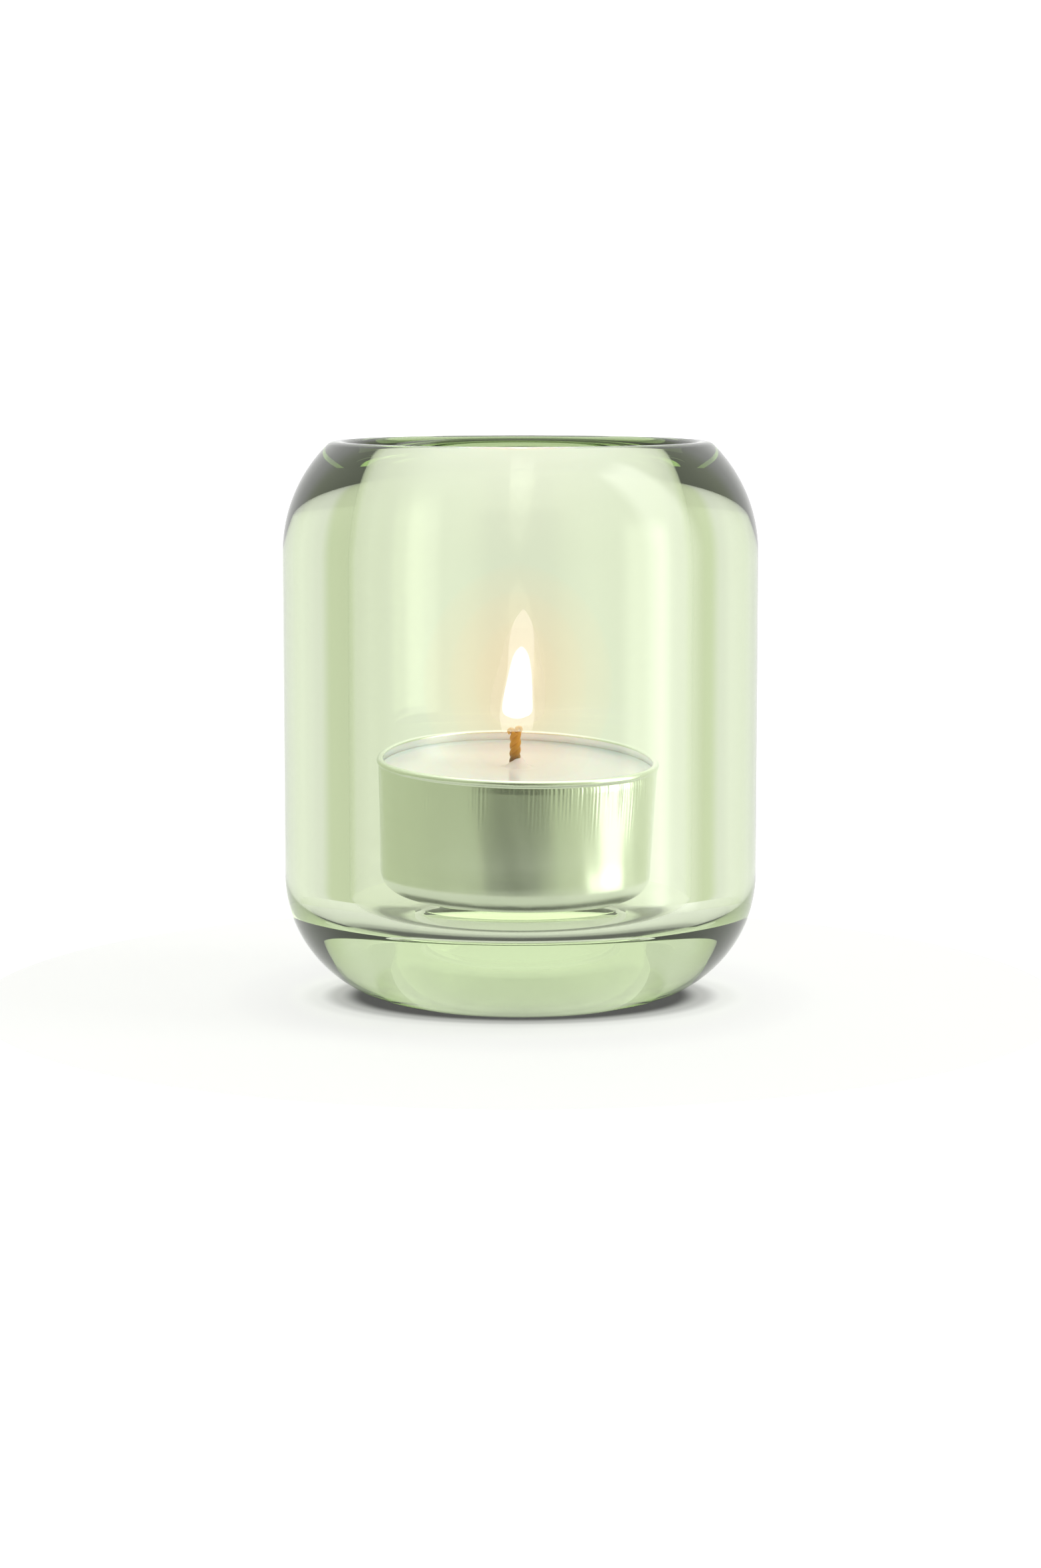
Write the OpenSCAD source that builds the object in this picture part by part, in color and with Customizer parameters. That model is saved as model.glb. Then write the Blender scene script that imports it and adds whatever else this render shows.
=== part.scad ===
// Tealight holder: a thick-walled pressed glass tumbler with a standard tealight standing in it.
// Millimetres, Z up. The origin is on the ground, at the middle of the glass foot.
// The front faces -Y.

/* [Glass body] */
// Outer diameter of the glass body
holder_d = 65; // [60:0.5:80]
// Height from the ground to the top of the lip
holder_h = 76.6; // [70:0.1:95]
// Radius of the rounded outer corner between the foot and the wall
base_corner_r = 17.3; // [6:0.1:17.5]
// Radius of the curve that draws the wall in towards the lip
shoulder_r = 20.6; // [16:0.1:26]
// Diameter of the shallow dish pressed into the underside of the foot
dish_d = 27; // [10:1:28]
// Depth of that dish at its middle
dish_depth = 0.8; // [0.3:0.1:2]

/* [Glass lip] */
// Radius of the rounded outer edge of the lip
lip_outer_r = 1.7; // [1:0.1:3]
// Radius of the rounded inner edge of the lip
lip_inner_r = 1.2; // [0.5:0.1:2]
// Width of the flat land left between the two rounded edges
lip_land = 0.4; // [0.2:0.1:1.5]

/* [Glass cavity] */
// Diameter of the cavity that the tealight stands in
cavity_d = 47.2; // [44:0.2:50]
// Thickness of the solid glass under the cavity
base_t = 12.2; // [8:0.1:16]
// Radius of the rounded corner round the cavity floor
cavity_corner_r = 4; // [1:0.5:5]
// Diameter of the domed seat raised in the middle of the cavity floor
seat_d = 28; // [24:0.5:34]
// Height of the seat's middle above the cavity floor
seat_h = 3; // [2.4:0.1:5]

/* [Tealight cup] */
// Diameter over the rolled rim of the aluminium cup
cup_rim_d = 38.4; // [37:0.1:40]
// Height of the cup from its bottom to the top of its rim
cup_h = 18.5; // [14:0.1:22]
// Diameter of the rolled bead that forms the rim
cup_bead_d = 0.9; // [0.7:0.1:1.2]
// How much narrower in radius the wall is at the bottom of the cup than at the bead
cup_taper = 0.4; // [0.1:0.1:0.8]
// Radius of the pressed corner at the bottom of the cup
cup_corner_r = 3; // [1.5:0.1:4]
// Thickness of the cup's wall
cup_t = 0.3; // [0.2:0.05:0.4]

/* [Candle] */
// Depth of the wax surface below the top of the rim
wax_drop = 1.7; // [1:0.1:4]
// Diameter of the braided cotton wick
wick_d = 1.5; // [1:0.1:2.5]
// Length of wick that stands out of the wax
wick_rise = 5.7; // [2:0.1:8]
// Diameter of the flat disc of the wick sustainer
sustainer_d = 12.6; // [8:0.2:15]
// Thickness of the sustainer's sheet metal
sustainer_t = 0.3; // [0.2:0.05:0.5]
// Height of the crimped collar that holds the wick upright
collar_h = 3; // [1.5:0.5:6]

/* [How the tealight stands] */
// Degrees that it leans towards the front on the domed seat
lean_forward = 3.9; // [0:0.1:5]
// Degrees that it leans to the right
lean_right = 1.4; // [-3:0.1:3]
// How far the middle of its bottom is off the axis to the right
off_right = -0.8; // [-1.5:0.1:1.5]
// Smallest gap between the cup and the seat that it stands on
seat_gap = 0.3; // [0.1:0.1:0.5]

/* [Hidden] */
$fn = 128;

// How far a cutting shape runs past the face that it cuts through
past = 1;

holder_r = holder_d / 2;
cavity_r = cavity_d / 2;

// The shoulder is an arc that leaves the wall upright and runs into the lip's outer edge:
// both arcs share a tangent at the angle lip_angle above horizontal, seen from their centres.
shoulder_x = holder_r - shoulder_r;
lip_x = cavity_r + lip_inner_r + lip_land;
lip_z = holder_h - lip_outer_r;
lip_angle = acos((lip_x - shoulder_x) / (shoulder_r - lip_outer_r));
shoulder_z = lip_z - (shoulder_r - lip_outer_r) * sin(lip_angle);

// The dish is the cap of a large ball
dish_ball_r = (pow(dish_d / 2, 2) + pow(dish_depth, 2)) / (2 * dish_depth);

// So is the seat, which swells up out of the floor
seat_ball_r = (pow(seat_d / 2, 2) + pow(seat_h, 2)) / (2 * seat_h);
seat_ball_z = base_t + seat_h - seat_ball_r;

// The cup's flat bottom leans as a plane that clears the seat's ball by seat_gap
cup_z = seat_ball_z + (seat_ball_r + seat_gap) / (cos(lean_forward) * cos(lean_right))
        - off_right * tan(lean_right);

bead_r = cup_bead_d / 2;
bead_x = cup_rim_d / 2 - bead_r;
cup_top_r = cup_rim_d / 2 - bead_r / 2;
cup_bottom_r = cup_top_r - cup_taper;
wax_z = cup_h - wax_drop;
collar_d = wick_d + 2 * sustainer_t;

// The lowest part of a half section, as high as the rounded corner that it ends in
module rounded_foot(radius, corner) {
    square([radius - corner, corner]);
    intersection() {
        translate([radius - corner, corner]) circle(corner);
        square([radius, corner]);
    }
}

// What is cut off the square corner of a lip to round its inner edge
module corner_scrap(r) {
    difference() {
        translate([-past, -r]) square([r + past, r + past]);
        translate([r, -r]) circle(r);
        translate([r, -r]) square([past, r + past]);
    }
}

// Half section of the glass before it is hollowed out
module holder_outline() {
    rounded_foot(holder_r, base_corner_r);
    translate([0, base_corner_r]) square([holder_r, shoulder_z - base_corner_r]);
    intersection() {
        translate([shoulder_x, shoulder_z]) circle(shoulder_r);
        translate([0, shoulder_z]) square([holder_r, shoulder_r * sin(lip_angle)]);
    }
    translate([lip_x, lip_z]) circle(lip_outer_r);
    translate([0, lip_z]) square([lip_x, lip_outer_r]);
}

// Half section of the hollow over a flat floor, with the rounded inner edge of the lip
module cavity_outline() {
    translate([0, base_t]) rounded_foot(cavity_r, cavity_corner_r);
    translate([0, base_t + cavity_corner_r])
        square([cavity_r, holder_h + past - base_t - cavity_corner_r]);
    translate([cavity_r, holder_h]) corner_scrap(lip_inner_r);
}

module glass_holder() {
    color("darkseagreen", 0.5)
        rotate_extrude()
            difference() {
                holder_outline();
                difference() {
                    cavity_outline();
                    translate([0, seat_ball_z]) circle(seat_ball_r);
                }
                translate([0, dish_depth - dish_ball_r]) circle(dish_ball_r);
            }
}

// Puts a piece of the tealight, drawn upright from z = 0, where the tealight stands
module standing() {
    translate([off_right, 0, cup_z])
        rotate([lean_forward, lean_right, 0])
            children();
}

// Half section of the cup's outside, or of the room inside it when inset is the wall's thickness
module cup_outline(inset, top) {
    corner = cup_corner_r - inset;
    bottom_r = cup_bottom_r - inset;
    slope = cup_taper / (cup_h - cup_corner_r);
    top_r = bottom_r + slope * (top - cup_corner_r);
    translate([0, inset]) rounded_foot(bottom_r, corner);
    polygon([[0, cup_corner_r], [bottom_r, cup_corner_r], [top_r, top], [0, top]]);
}

module tealight_cup() {
    color("silver")
        standing()
            rotate_extrude() {
                difference() {
                    cup_outline(0, cup_h - bead_r);
                    cup_outline(cup_t, cup_h);
                }
                translate([bead_x, cup_h - bead_r]) circle(bead_r);
            }
}

// A rod of the wick's diameter, from the inside of the cup's bottom up to the height top
module wick_rod(top) {
    translate([0, 0, cup_t]) cylinder(d = wick_d, h = top - cup_t);
}

// The sustainer without its hole: a flat disc with an upright collar
module sustainer_body() {
    translate([0, 0, cup_t]) {
        cylinder(d = sustainer_d, h = sustainer_t);
        cylinder(d = collar_d, h = sustainer_t + collar_h);
    }
}

module wax() {
    color("mistyrose")
        standing()
            difference() {
                rotate_extrude() cup_outline(cup_t, wax_z);
                sustainer_body();
                wick_rod(wax_z + past);
            }
}

module wick_sustainer() {
    color("lightsteelblue")
        standing()
            difference() {
                sustainer_body();
                wick_rod(cup_h);
            }
}

module wick() {
    color("sienna")
        standing()
            wick_rod(wax_z + wick_rise);
}

glass_holder();
tealight_cup();
wax();
wick_sustainer();
wick();
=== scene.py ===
"""The looks of the tealight holder: thick green glass, an aluminium tealight and its flame."""

import math

import bpy
import numpy as np
from mathutils import Matrix, Vector


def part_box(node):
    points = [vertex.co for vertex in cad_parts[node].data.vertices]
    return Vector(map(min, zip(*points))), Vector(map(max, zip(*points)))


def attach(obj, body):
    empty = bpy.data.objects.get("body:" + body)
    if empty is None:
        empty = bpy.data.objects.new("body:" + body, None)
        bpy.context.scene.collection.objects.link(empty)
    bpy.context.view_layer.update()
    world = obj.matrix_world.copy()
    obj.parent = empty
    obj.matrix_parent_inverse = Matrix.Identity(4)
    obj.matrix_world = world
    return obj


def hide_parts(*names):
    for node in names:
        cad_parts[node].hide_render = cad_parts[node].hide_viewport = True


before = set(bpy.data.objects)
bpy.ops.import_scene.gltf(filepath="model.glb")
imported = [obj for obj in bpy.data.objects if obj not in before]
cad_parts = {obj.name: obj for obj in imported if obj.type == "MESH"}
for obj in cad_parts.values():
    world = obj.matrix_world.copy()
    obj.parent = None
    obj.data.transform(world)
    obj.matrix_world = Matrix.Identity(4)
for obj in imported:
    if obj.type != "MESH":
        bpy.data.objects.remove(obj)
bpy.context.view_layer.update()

MM = 0.001

# The glass, in millimetres: the same sizes as the CAD part.
BASE_CORNER_R = 17.3
SHOULDER_R = 20.6
LIP_OUTER_R = 1.7
LIP_INNER_R = 1.2
LIP_LAND = 0.4
CAVITY_R = 23.6
CAVITY_CORNER_R = 4.0
FLOOR_Z = 12.2
SEAT_R = 14.0
SEAT_H = 3.0
DISH_R = 13.5
DISH_DEPTH = 0.8

# The tealight, in millimetres from the middle of its bottom, and the angles that it leans at.
LEAN_FORWARD = math.radians(3.9)
LEAN_RIGHT = math.radians(1.4)
CUP_H = 18.5
CUP_T = 0.3
CUP_CORNER_R = 3.0
CUP_BOTTOM_R = 18.575
CUP_TOP_R = 18.975
BEAD_R = 0.45
WAX_Z = 16.8
WICK_TOP = 22.5
WICK_R = 0.75
CREASE_DEPTH = 0.012
DENT_DEPTH = 0.008
WAX_GAP = 0.06
WAX_CLIMB_AT_CUP = 0.35
WAX_CLIMB_AT_WICK = 1.2

# The braided wick, in millimetres: how far it stands off the middle of the tealight, the radius of
# a strand and of the spiral it follows, and the height of one turn.
WICK_X = -0.4
STRAND_R = 0.42
BRAID_R = 0.36
BRAID_PITCH = 3.2
CURL_R = 0.3

# The flame's outlines, as (height over the wax, width) in millimetres, and how far to the right
# its middle is at each height.
FLAME_CENTRES = [(0, -0.1), (6, -0.1), (9, 0.0), (13, 0.35), (16, 0.5), (21.5, 0.8)]
FLAME_CORE = [
    (6.6, 0.0),
    (6.8, 2.6),
    (7.4, 4.0),
    (8.3, 4.15),
    (10.7, 3.7),
    (13.2, 3.0),
    (15.1, 2.2),
    (15.8, 1.5),
    (16.3, 0.9),
    (16.5, 0.0),
]
FLAME_FOOT = [
    (5.0, 4.0),
    (5.6, 4.5),
    (6.5, 4.55),
    (8.3, 4.4),
    (9.6, 4.0),
    (9.8, 0.0),
]
FLAME_TONGUE = [
    (9.0, 0.0),
    (9.5, 3.6),
    (14.8, 3.5),
    (16.5, 3.5),
    (18.1, 3.25),
    (19.7, 2.6),
    (20.5, 1.8),
    (21.2, 0.9),
    (21.6, 0.0),
]
FLAME_SKIN = [
    (5.6, 3.9),
    (6.5, 4.9),
    (8.3, 4.7),
    (10.7, 4.2),
    (13.2, 3.5),
    (15.1, 2.8),
    (16.4, 1.6),
    (16.9, 0.0),
]
FLAME_HALO = [
    (6.0, 4.2),
    (6.8, 7.0),
    (8.0, 7.6),
    (11.0, 7.2),
    (15.0, 5.4),
    (18.0, 4.2),
    (21.5, 0.0),
]

# The warm haze: (radius, half height) of each cloud in millimetres, how high their middle is over
# the wax in metres, and how strongly they filter and shine.
HAZE_CLOUDS = [(6, 8.5), (9.5, 12.5), (13, 16)]
HAZE_RISE = 0.0115
HAZE_FILTER = 3.4
HAZE_GLOW = 3.06

# Colours of the wick, and of the cards that stand round the glass.
DARK_BROWN = (0.14, 0.065, 0.008)
AMBER = (0.6, 0.27, 0.012)
CARD_TINT = (0.93, 1.0, 0.76)
WHITE = (1.0, 1.0, 1.0)
WINDOW_STRENGTH = 2.7
SKY_STRENGTH = 1.03

# The round table top's radius in metres, and how much light its paper scatters and gives.
TABLE_R = 0.075
PAPER_ALBEDO = 0.22
PAPER_GLOW = 0.69

# The shadow painted on the paper round the foot of the glass: how bright the paper is at each
# distance from the middle, in metres. Across, the painted shade reaches SHADE_STRETCH times as far.
SHADE_STRETCH = 1.25
SHADE_REACH = 0.03
PAINTED_SHADE = [
    (0.0, 1.0),
    (0.0125, 1.0),
    (0.0145, 0.12),
    (0.0176, 0.12),
    (0.0202, 0.58),
    (0.0225, 0.92),
    (0.025, 1.0),
]

# The camera, in metres, degrees and millimetres of lens.
CAMERA_AT = (0, -0.5, 0.09265)
CAMERA_DIP = 7.2
CAMERA_LENS = 83.97
SENSOR = 36
BOUNCES = 24


def arc(x, z, r, start, end, steps):
    """Points along an arc, with its angles in degrees from +X towards +Z."""
    angles = [math.radians(start + (end - start) * i / steps) for i in range(steps + 1)]
    return [(x + r * math.cos(a), z + r * math.sin(a)) for a in angles]


def line(a, b, steps):
    """Points from a to b without either end."""
    return [
        (a[0] + (b[0] - a[0]) * i / steps, a[1] + (b[1] - a[1]) * i / steps)
        for i in range(1, steps)
    ]


def cap(r, h, z, steps, sign=1):
    """Points from the axis out along a shallow ball cap of that radius and height."""
    ball = (r * r + h * h) / (2 * h)
    xs = [r * i / steps for i in range(steps + 1)]
    return [(x, z + sign * (math.sqrt(ball * ball - x * x) - ball)) for x in xs]


def lathe(name, profile, segments, wobble=None):
    """A smooth body of revolution. The solid is on the profile's left; wobble moves its radii."""
    turns = np.linspace(0, 2 * math.pi, segments, endpoint=False)
    points, rings = [], []
    for r, z in profile:
        if r < 1e-6:
            rings.append([len(points)])
            points.append((0, 0, z * MM))
            continue
        radii = np.full(segments, r) if wobble is None else r + wobble(turns, r, z)
        rings.append(range(len(points), len(points) + segments))
        points += [
            (q * MM * math.cos(t), q * MM * math.sin(t), z * MM)
            for q, t in zip(radii, turns)
        ]
    faces = []
    for a, b in zip(rings, rings[1:]):
        for k in range(segments):
            n = (k + 1) % segments
            if len(a) == 1:
                faces.append((a[0], b[n], b[k]))
            elif len(b) == 1:
                faces.append((a[k], a[n], b[0]))
            else:
                faces.append((a[k], a[n], b[n], b[k]))
    return solid(name, points, faces)


def solid(name, points, faces):
    """A smooth-shaded mesh object."""
    mesh = bpy.data.meshes.new(name)
    mesh.from_pydata(points, [], faces)
    mesh.polygons.foreach_set("use_smooth", [True] * len(mesh.polygons))
    obj = bpy.data.objects.new(name, mesh)
    bpy.context.scene.collection.objects.link(obj)
    return obj


def tube(name, path, radii, sides=12):
    """A closed round tube along a path of points, in millimetres."""
    path = [Vector(p) for p in path]
    points, faces = [], []
    side = Vector((1, 0, 0))
    for i, p in enumerate(path):
        along = (path[min(i + 1, len(path) - 1)] - path[max(i - 1, 0)]).normalized()
        side = (side - along * side.dot(along)).normalized()
        up = along.cross(side)
        for k in range(sides):
            t = 2 * math.pi * k / sides
            points.append((p + (side * math.cos(t) + up * math.sin(t)) * radii[i]) * MM)
    for i in range(len(path) - 1):
        for k in range(sides):
            n = (k + 1) % sides
            faces.append(
                (i * sides + k, i * sides + n, (i + 1) * sides + n, (i + 1) * sides + k)
            )
    last = (len(path) - 1) * sides
    faces.append(tuple(reversed(range(sides))))
    faces.append(tuple(range(last, last + sides)))
    return solid(name, points, faces)


def shader(name, **values):
    """A material with a Principled shader, and that shader's node."""
    material = bpy.data.materials.new(name)
    material.use_nodes = True
    node = material.node_tree.nodes["Principled BSDF"]
    for key, value in values.items():
        node.inputs[key.replace("_", " ")].default_value = value
    return material, node


def ramp(tree, source, stops):
    """A colour ramp's output over stops of position, brightness and, where it isn't card, tint."""
    node = tree.nodes.new("ShaderNodeValToRGB")
    node.color_ramp.interpolation = "EASE"
    elements = node.color_ramp.elements
    elements[0].position, elements[1].position = stops[0][0], stops[-1][0]
    for stop in stops[1:-1]:
        elements.new(stop[0])
    for element, stop in zip(elements, stops):
        tint = CARD_TINT if len(stop) == 2 else stop[2]
        element.color = (*[stop[1] * part for part in tint], 1)
    tree.links.new(source, node.inputs["Fac"])
    return node.outputs["Color"]


def maths(tree, operation, a, b):
    """A math node's output. Either input may be a socket or a number."""
    node = tree.nodes.new("ShaderNodeMath")
    node.operation = operation
    for socket, value in zip(node.inputs, (a, b)):
        if isinstance(value, (int, float)):
            socket.default_value = value
        else:
            tree.links.new(value, socket)
    return node.outputs[0]


def glass_material():
    """Pale yellowish green glass. Its faint glow stands for the light scattered inside it."""
    material, _ = shader(
        "green_glass",
        Base_Color=(0.905, 0.925, 0.85, 1),
        Roughness=0.0,
        IOR=1.5,
        Transmission_Weight=1.0,
        Emission_Color=(0.9, 1.0, 0.75, 1),
        Emission_Strength=0.008,
    )
    tree = material.node_tree
    tint = tree.nodes.new("ShaderNodeVolumeAbsorption")
    tint.inputs["Color"].default_value = (0.64, 0.78, 0.42, 1)
    tint.inputs["Density"].default_value = 20.0
    tree.links.new(tint.outputs[0], tree.nodes["Material Output"].inputs["Volume"])
    return material


def glass_profile():
    """Half section of the glass, from the middle of its underside to the middle of its floor."""
    low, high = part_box("glass_holder")
    radius, height = (high.x - low.x) / 2 / MM, high.z / MM
    shoulder_x = radius - SHOULDER_R
    lip_x = CAVITY_R + LIP_INNER_R + LIP_LAND
    lip_z = height - LIP_OUTER_R
    bend = math.degrees(math.acos((lip_x - shoulder_x) / (SHOULDER_R - LIP_OUTER_R)))
    shoulder_z = lip_z - (SHOULDER_R - LIP_OUTER_R) * math.sin(math.radians(bend))
    wall_top, wall_foot = height - LIP_INNER_R, FLOOR_Z + CAVITY_CORNER_R
    seat = cap(SEAT_R, SEAT_H, FLOOR_Z + SEAT_H, 30)
    return (
        cap(DISH_R, DISH_DEPTH, DISH_DEPTH, 24)
        + [((DISH_R + radius - BASE_CORNER_R) / 2, 0)]
        + arc(radius - BASE_CORNER_R, BASE_CORNER_R, BASE_CORNER_R, -90, 0, 72)
        + line((radius, BASE_CORNER_R), (radius, shoulder_z), 24)
        + arc(shoulder_x, shoulder_z, SHOULDER_R, 0, bend, 48)
        + arc(lip_x, lip_z, LIP_OUTER_R, bend, 90, 24)[1:]
        + arc(CAVITY_R + LIP_INNER_R, wall_top, LIP_INNER_R, 90, 180, 20)
        + line((CAVITY_R, wall_top), (CAVITY_R, wall_foot), 40)
        + arc(CAVITY_R - CAVITY_CORNER_R, wall_foot, CAVITY_CORNER_R, 0, -90, 48)
        + [((CAVITY_R - CAVITY_CORNER_R + SEAT_R) / 2, FLOOR_Z)]
        + seat[::-1]
    )


def make_glass():
    """The thick-walled tumbler, in place of its faceted CAD body."""
    glass = lathe("glass", glass_profile(), 256)
    glass.data.materials.append(glass_material())
    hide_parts("glass_holder")
    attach(glass, "holder")


def tealight_place():
    """Where the tealight stands: its lean, and its bottom's middle, found from the CAD wick."""
    lean = Matrix.Rotation(LEAN_RIGHT, 4, "Y") @ Matrix.Rotation(LEAN_FORWARD, 4, "X")
    low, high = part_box("wick")
    up_the_axis = Vector((0, 0, (WICK_TOP + CUP_T) / 2 * MM))
    return Matrix.Translation((low + high) / 2 - lean @ up_the_axis) @ lean


def stand(obj, material, place):
    """Puts a piece where it stands, with its material, to move with the tealight."""
    obj.data.materials.append(material)
    obj.matrix_world = place
    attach(obj, "tealight")


def wrinkles(turns, r, z):
    """How far fine creases below the rim and shallow dents lower down move the cup's wall."""
    if r < CUP_BOTTOM_R - 0.5 or z > CUP_H - 0.6:
        return np.zeros_like(turns)
    depth = CUP_H - z
    fine = sum(
        np.sin(n * turns + 1.7 * i + 0.25 * z * (-1) ** i)
        for i, n in enumerate((173, 211, 238, 269))
    )
    patchy = 0.55 + 0.45 * np.sin(7 * turns + 0.9) * np.sin(11 * turns + 0.3 * z)
    front_right = 0.45 + 0.55 * np.clip(np.cos(turns + math.radians(55)), 0, 1)
    fade = math.exp(-(max(depth - 1.2, 0) / 4.5) ** 2)
    dents = sum(
        np.sin(n * turns + 2.3 * i + 0.35 * z)
        for i, n in enumerate((5, 9, 14, 23, 37))
    )
    return CREASE_DEPTH * fine * patchy * front_right * fade + DENT_DEPTH * dents


def make_cup():
    """The drawn aluminium cup with its rolled rim, open at the top down to the wax."""
    slope = (CUP_TOP_R - CUP_BOTTOM_R) / (CUP_H - CUP_CORNER_R)
    neck_z = CUP_H - 2 * BEAD_R
    neck_r = CUP_BOTTOM_R + slope * (neck_z - CUP_CORNER_R)
    wall_in = neck_r - CUP_T
    bead_x = CUP_TOP_R + BEAD_R / 2 - BEAD_R
    profile = (
        [(0, 0), (8, 0)]
        + arc(CUP_BOTTOM_R - CUP_CORNER_R, CUP_CORNER_R, CUP_CORNER_R, -90, 0, 20)
        + line((CUP_BOTTOM_R, CUP_CORNER_R), (neck_r - 0.02, neck_z - 0.5), 26)
        + [(neck_r - 0.02, neck_z - 0.5), (neck_r - 0.12, neck_z - 0.2)]
        + [(neck_r - 0.1, neck_z)]
        + arc(bead_x, CUP_H - BEAD_R, BEAD_R, -40, 170, 14)
        + [(wall_in, CUP_H - 1.0), (wall_in - 0.05, WAX_Z - 2)]
        + [(CUP_BOTTOM_R - CUP_T, CUP_CORNER_R), (CUP_BOTTOM_R - CUP_CORNER_R, CUP_T)]
        + [(0, CUP_T)]
    )
    cup = lathe("cup", profile, 1080, wrinkles)
    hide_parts("tealight_cup")
    return cup


def make_wax():
    """The wax, which climbs a little at the cup's wall and at the wick."""
    foot = CUP_BOTTOM_R - CUP_CORNER_R
    wall = CUP_TOP_R - CUP_T - WAX_GAP
    rising = np.linspace(1, 0, 12)
    profile = (
        [(0, CUP_T + 0.02), (foot, CUP_T + 0.02)]
        + [(CUP_BOTTOM_R - CUP_T - WAX_GAP, CUP_CORNER_R), (wall, WAX_Z)]
        + [(wall - 1.4 * (1 - c), WAX_Z + WAX_CLIMB_AT_CUP * c**3) for c in rising]
        + [(r, WAX_Z) for r in (15, 12, 9, 6, 4)]
        + [(WICK_R + 2 * c, WAX_Z + WAX_CLIMB_AT_WICK * (1 - c) ** 3) for c in rising]
        + [(0.3, WAX_Z + 1.35), (0, WAX_Z + 1.35)]
    )
    wax = lathe("wax_block", profile, 160)
    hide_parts("wax")
    return wax


def make_wick():
    """A braid of three cotton strands, and the two charred curls at its end."""
    strands, curls = [], []
    heights = np.linspace(WAX_Z - 1, WICK_TOP - 0.9, 48)
    for i in range(3):
        turns = heights * 2 * math.pi / BRAID_PITCH + i * 2 * math.pi / 3
        path = [
            (WICK_X + BRAID_R * math.cos(t), BRAID_R * math.sin(t), z)
            for t, z in zip(turns, heights)
        ]
        strands.append(tube(f"strand_{i}", path, [STRAND_R] * len(path)))
    # Each curl's way, and how far its middle is from the wick's and below the top.
    for i, (way, across, drop) in enumerate([(-1, 0.65, 0.8), (1, 0.45, 0.5)]):
        bend = np.linspace(math.radians(-50), math.radians(250), 24)
        path = [
            (
                WICK_X + way * (across - CURL_R * math.cos(b)),
                0,
                WICK_TOP - drop + CURL_R * math.sin(b),
            )
            for b in bend
        ]
        curls.append(tube(f"curl_{i}", path, np.linspace(0.3, 0.2, len(path))))
    return strands, curls


def flame_shell(name, rows):
    """A body of revolution through rows of (height, width), which leans as the flame does."""
    heights = [row[0] for row in rows]
    fine = np.linspace(heights[0], heights[-1], 60)
    widths = np.interp(fine, heights, [row[1] for row in rows])
    widths = np.convolve(np.pad(widths, 2, "edge"), np.full(5, 0.2), "valid")
    widths[0] = widths[-1] = 0
    shell = lathe(name, list(zip(widths / 2, fine)), 48)
    across = np.interp(fine, *zip(*FLAME_CENTRES))
    for vertex in shell.data.vertices:
        vertex.co.x += np.interp(vertex.co.z / MM, fine, across) * MM
    return shell


def glow_material(name, colour, strength, opacity):
    """Light that lets what is behind it through."""
    material = bpy.data.materials.new(name)
    material.use_nodes = True
    tree = material.node_tree
    tree.nodes.clear()
    out = tree.nodes.new("ShaderNodeOutputMaterial")
    light = tree.nodes.new("ShaderNodeEmission")
    light.inputs["Color"].default_value = (*colour, 1)
    light.inputs["Strength"].default_value = strength
    if opacity >= 1:
        tree.links.new(light.outputs[0], out.inputs["Surface"])
        return material
    clear = tree.nodes.new("ShaderNodeBsdfTransparent")
    mix = tree.nodes.new("ShaderNodeMixShader")
    mix.inputs["Fac"].default_value = opacity
    tree.links.new(clear.outputs[0], mix.inputs[1])
    tree.links.new(light.outputs[0], mix.inputs[2])
    tree.links.new(mix.outputs[0], out.inputs["Surface"])
    return material


def haze(name, radius, height, foot):
    """A soft round cloud of warm light round the flame. It is light, not a piece of the object."""
    rows = arc(0, 0, 1, -90, 90, 24)
    cloud = lathe(name, [(r * radius, z * height) for r, z in rows], 48)
    material = bpy.data.materials.new(name)
    material.use_nodes = True
    tree = material.node_tree
    tree.nodes.clear()
    out = tree.nodes.new("ShaderNodeOutputMaterial")
    both = tree.nodes.new("ShaderNodeAddShader")
    filtering = tree.nodes.new("ShaderNodeVolumeAbsorption")
    filtering.inputs["Color"].default_value = (1.0, 0.5, 0.1, 1)
    filtering.inputs["Density"].default_value = HAZE_FILTER
    shining = tree.nodes.new("ShaderNodeEmission")
    shining.inputs["Color"].default_value = (1.0, 0.3, 0.1, 1)
    shining.inputs["Strength"].default_value = HAZE_GLOW
    tree.links.new(filtering.outputs[0], both.inputs[0])
    tree.links.new(shining.outputs[0], both.inputs[1])
    tree.links.new(both.outputs[0], out.inputs["Volume"])
    cloud.data.materials.append(material)
    cloud.matrix_world = Matrix.Translation(foot + Vector((0, 0, HAZE_RISE)))
    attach(cloud, "tealight")


def make_flame(place):
    """The flame: a white core, a soft skin and foot, a pale tongue above and a faint halo."""
    foot = place @ Vector((0, 0, WAX_Z * MM))
    # Each shell's colour, strength and opacity.
    shells = [
        ("flame_core", FLAME_CORE, (1, 1, 1), 3.0, 1.0),
        ("flame_skin", FLAME_SKIN, (1.0, 0.95, 0.88), 1.35, 0.2),
        ("flame_foot", FLAME_FOOT, (1.0, 0.95, 0.86), 1.25, 0.3),
        ("flame_tongue", FLAME_TONGUE, (1.0, 0.93, 0.84), 1.2, 0.5),
        ("flame_halo", FLAME_HALO, (1.0, 0.9, 0.8), 1.15, 0.1),
    ]
    for name, rows, colour, strength, opacity in shells:
        shell = flame_shell(name, rows)
        shell.data.materials.append(glow_material(name, colour, strength, opacity))
        shell.matrix_world = Matrix.Translation(foot)
        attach(shell, "tealight")
    for i, (radius, height) in enumerate(HAZE_CLOUDS):
        haze(f"haze_{i}", radius, height, foot)
    make_flame_light(foot)


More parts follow.
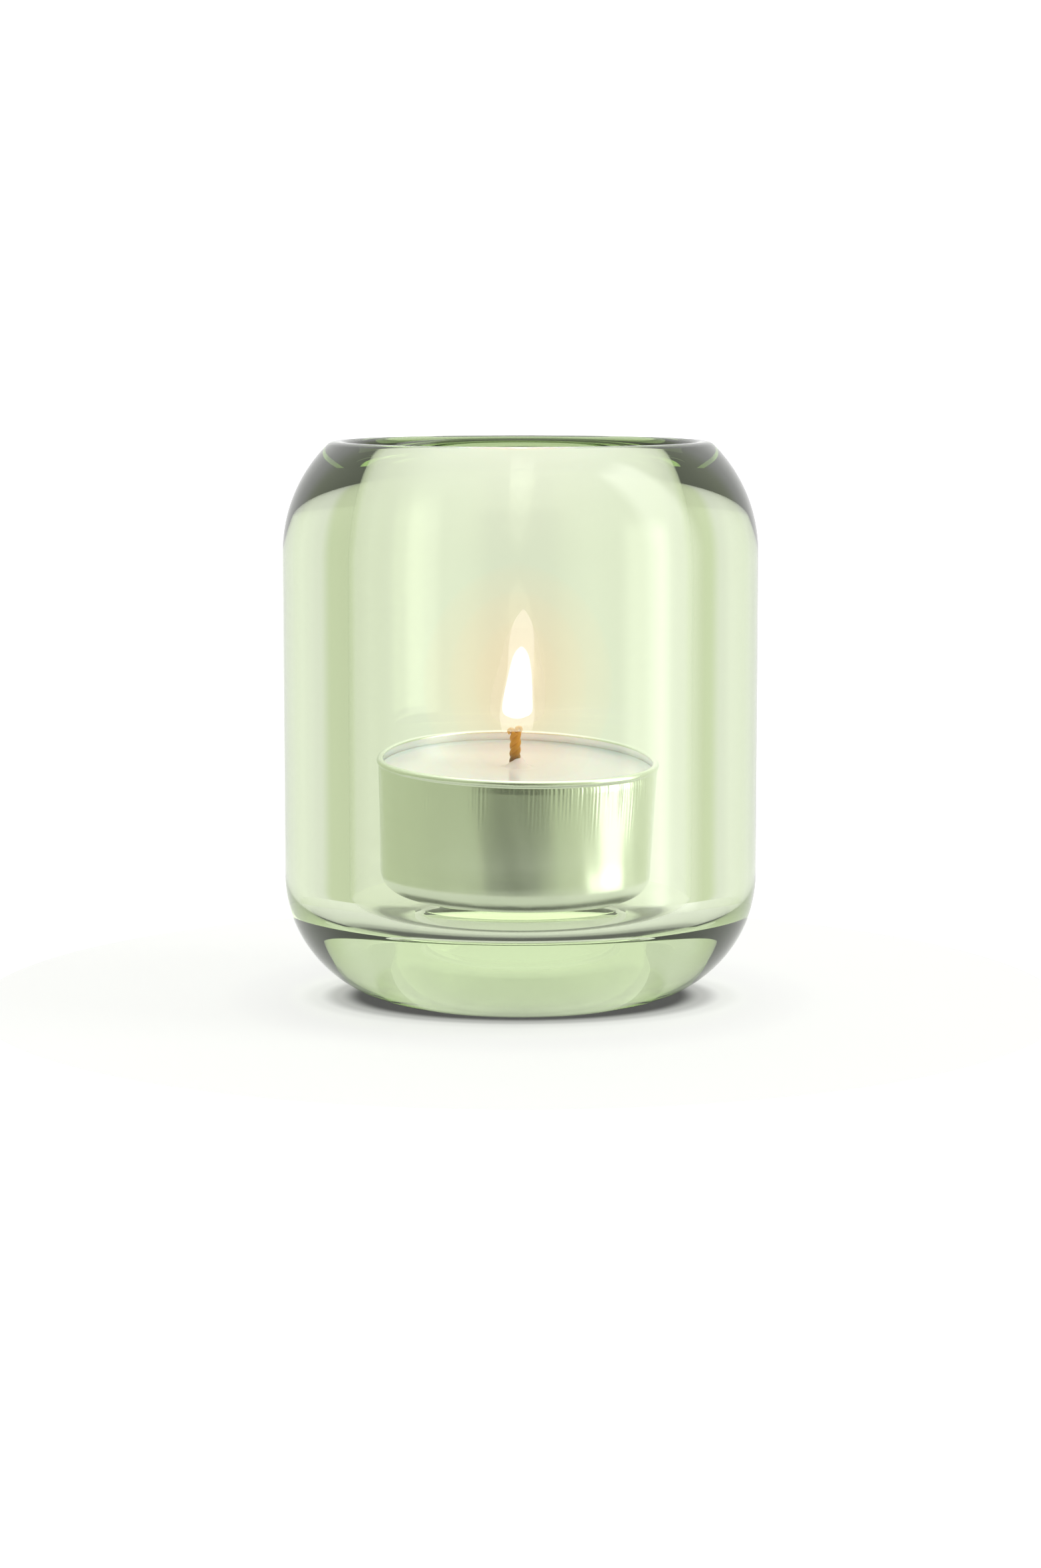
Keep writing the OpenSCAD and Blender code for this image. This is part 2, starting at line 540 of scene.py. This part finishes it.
def make_flame_light(foot):
    """The light that the flame throws on the wax, which isn't seen itself."""
    lamp = bpy.data.lights.new("flame_light", "POINT")
    lamp.color = (1.0, 0.74, 0.54)
    lamp.energy = 0.011
    lamp.shadow_soft_size = 0.002
    bulb = bpy.data.objects.new("flame_light", lamp)
    bpy.context.scene.collection.objects.link(bulb)
    bulb.location = foot + Vector((0, 0, 0.009))
    bulb.visible_transmission = False
    bulb.visible_glossy = False
    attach(bulb, "tealight")


def foil_material():
    """Bright drawn aluminium, a little dull."""
    return shader(
        "aluminium", Base_Color=(0.85, 0.86, 0.86, 1), Metallic=1.0, Roughness=0.27
    )[0]


def wax_material():
    """White wax, which looks lavender grey before the green glass tints it."""
    return shader(
        "paraffin",
        Base_Color=(0.8, 0.75, 0.93, 1),
        Roughness=0.18,
        Subsurface_Weight=0.4,
        Subsurface_Scale=0.003,
    )[0]


def cotton_material():
    """Cotton soaked in wax: amber, and darker brown towards the bottom, where it leaves the wax."""
    cotton, node = shader("cotton", Roughness=0.35)
    tree = cotton.node_tree
    split = tree.nodes.new("ShaderNodeSeparateXYZ")
    within = tree.nodes.new("ShaderNodeTexCoord").outputs["Generated"]
    tree.links.new(within, split.inputs[0])
    # Darker brown low on each strand, amber higher up, a little dimmer in between.
    stops = [(0.36, 1, DARK_BROWN), (0.56, 0.8, AMBER), (0.74, 1, AMBER)]
    tree.links.new(ramp(tree, split.outputs["Z"], stops), node.inputs["Base Color"])
    return cotton


def tip_material():
    """The pale burning end of the cotton."""
    return shader("cotton_tip", Base_Color=(0.72, 0.44, 0.14, 1), Roughness=0.3)[0]


def steel_material():
    """Plain pressed steel, under the wax."""
    return shader(
        "sustainer_steel", Base_Color=(0.6, 0.6, 0.58, 1), Metallic=1.0, Roughness=0.35
    )[0]


def make_tealight():
    """The tealight's pieces, standing on the domed seat."""
    place = tealight_place()
    stand(make_cup(), foil_material(), place)
    stand(make_wax(), wax_material(), place)
    strands, curls = make_wick()
    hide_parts("wick")
    for parts, material in ((strands, cotton_material()), (curls, tip_material())):
        for part in parts:
            stand(part, material, place)
    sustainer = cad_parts["wick_sustainer"]
    sustainer.data.materials.clear()
    sustainer.data.materials.append(steel_material())
    make_flame(place)


def turn(degrees):
    """A compass angle round the glass as a place on a ramp: 0 is behind it, 90 to its right."""
    return 0.5 + degrees / 360


def patch(tree, place, height, round_stops, up_stops):
    """A soft-edged patch of the sky: 1 inside it and 0 outside."""
    across = ramp(tree, place, [(turn(a), v, WHITE) for a, v in round_stops])
    upward = ramp(tree, height, [(z, v, WHITE) for z, v in up_stops])
    return maths(tree, "MULTIPLY", across, upward)


def make_sky():
    """A bright sheet behind, card at the sides, a tall window to the right, a dim room in front."""
    world = bpy.data.worlds.new("studio")
    bpy.context.scene.world = world
    world.use_nodes = True
    tree = world.node_tree
    sky = tree.nodes["Background"]
    heading = tree.nodes.new("ShaderNodeTexCoord").outputs["Generated"]
    split = tree.nodes.new("ShaderNodeSeparateXYZ")
    tree.links.new(heading, split.inputs[0])
    angle = maths(tree, "ARCTAN2", split.outputs["X"], split.outputs["Y"])
    place = maths(tree, "ADD", maths(tree, "DIVIDE", angle, 2 * math.pi), 0.5)
    height = maths(tree, "ADD", maths(tree, "MULTIPLY", split.outputs["Z"], 0.5), 0.5)
    sheet = [(-34, 0.88), (-20, 0.96), (-8, 1.05), (20, 1.03), (34, 0.92)]
    left = [(-180, 0.7), (-120, 0.62), (-90, 0.7), (-62, 0.7), (-48, 0.72)]
    right = [(48, 0.78), (62, 0.72), (120, 0.75), (180, 0.7)]
    stops = [(turn(a), v) for a, v in left]
    stops += [(turn(a), v, WHITE) for a, v in sheet]
    stops += [(turn(a), v) for a, v in right]
    round_about = ramp(tree, place, stops)
    window = patch(
        tree,
        place,
        height,
        [(80, 0), (91, 1), (109, 1), (121, 0)],
        [(0.32, 0), (0.4, 1), (0.9, 1), (0.95, 0)],
    )
    room = patch(
        tree,
        place,
        height,
        [(-180, 0.85), (-164, 0.8), (-146, 0), (146, 0), (164, 0.8), (180, 0.85)],
        [(0.29, 0), (0.34, 1), (0.75, 1), (0.85, 0)],
    )
    overhead = ramp(tree, height, [(0.55, 0, WHITE), (0.8, 0.3, WHITE), (0.97, 1, WHITE)])
    lit = maths(tree, "ADD", maths(tree, "MULTIPLY", window, WINDOW_STRENGTH), overhead)
    seen = tree.nodes.new("ShaderNodeLightPath").outputs["Is Camera Ray"]
    lit = maths(tree, "ADD", lit, seen)
    cards = tree.nodes.new("ShaderNodeVectorMath")
    cards.operation = "SCALE"
    tree.links.new(round_about, cards.inputs[0])
    tree.links.new(maths(tree, "SUBTRACT", 1.0, room), cards.inputs["Scale"])
    total = tree.nodes.new("ShaderNodeVectorMath")
    total.operation = "ADD"
    tree.links.new(cards.outputs[0], total.inputs[0])
    tree.links.new(lit, total.inputs[1])
    tree.links.new(total.outputs[0], sky.inputs["Color"])
    sky.inputs["Strength"].default_value = SKY_STRENGTH


def make_studio():
    """A round white table top under the sky, with a shadow painted on it round the foot of the
    glass.
    """
    make_sky()
    bpy.ops.mesh.primitive_circle_add(vertices=128, radius=TABLE_R, fill_type="NGON")
    floor = bpy.context.object
    floor.name = "table_top"
    paper, node = shader("paper", Roughness=0.9, Emission_Strength=1.0)
    node.inputs["Specular IOR Level"].default_value = 0.0
    tree = paper.node_tree
    where = tree.nodes.new("ShaderNodeTexCoord").outputs["Object"]
    oval = tree.nodes.new("ShaderNodeMapping")
    across, along = 1 / SHADE_STRETCH / SHADE_REACH, 1 / SHADE_REACH
    oval.inputs["Scale"].default_value = (across, along, 0)
    tree.links.new(where, oval.inputs["Vector"])
    reach = tree.nodes.new("ShaderNodeVectorMath")
    reach.operation = "LENGTH"
    tree.links.new(oval.outputs[0], reach.inputs[0])
    # The painted shadow darkens both the paper's colour and its glow.
    for socket, share in (("Base Color", PAPER_ALBEDO), ("Emission Color", PAPER_GLOW)):
        painted_shades = [(d / SHADE_REACH, share * v, WHITE) for d, v in PAINTED_SHADE]
        tree.links.new(ramp(tree, reach.outputs["Value"], painted_shades), node.inputs[socket])
    floor.data.materials.append(paper)


def make_camera():
    """The camera, half a metre in front of the glass and a little above it."""
    data = bpy.data.cameras.new("camera")
    data.sensor_width = SENSOR
    data.lens = CAMERA_LENS
    data.clip_start = 0.01
    camera = bpy.data.objects.new("camera", data)
    bpy.context.scene.collection.objects.link(camera)
    camera.location = CAMERA_AT
    camera.rotation_euler = (math.radians(90 - CAMERA_DIP), 0, 0)
    bpy.context.scene.camera = camera


def set_render():
    """Enough bounces for light to cross the thick glass many times."""
    scene = bpy.context.scene
    scene.cycles.max_bounces = BOUNCES
    scene.cycles.transmission_bounces = BOUNCES
    scene.cycles.transparent_max_bounces = BOUNCES
    scene.cycles.blur_glossy = 0.0
    scene.view_settings.view_transform = "Standard"


make_glass()
make_tealight()
make_studio()
make_camera()
set_render()
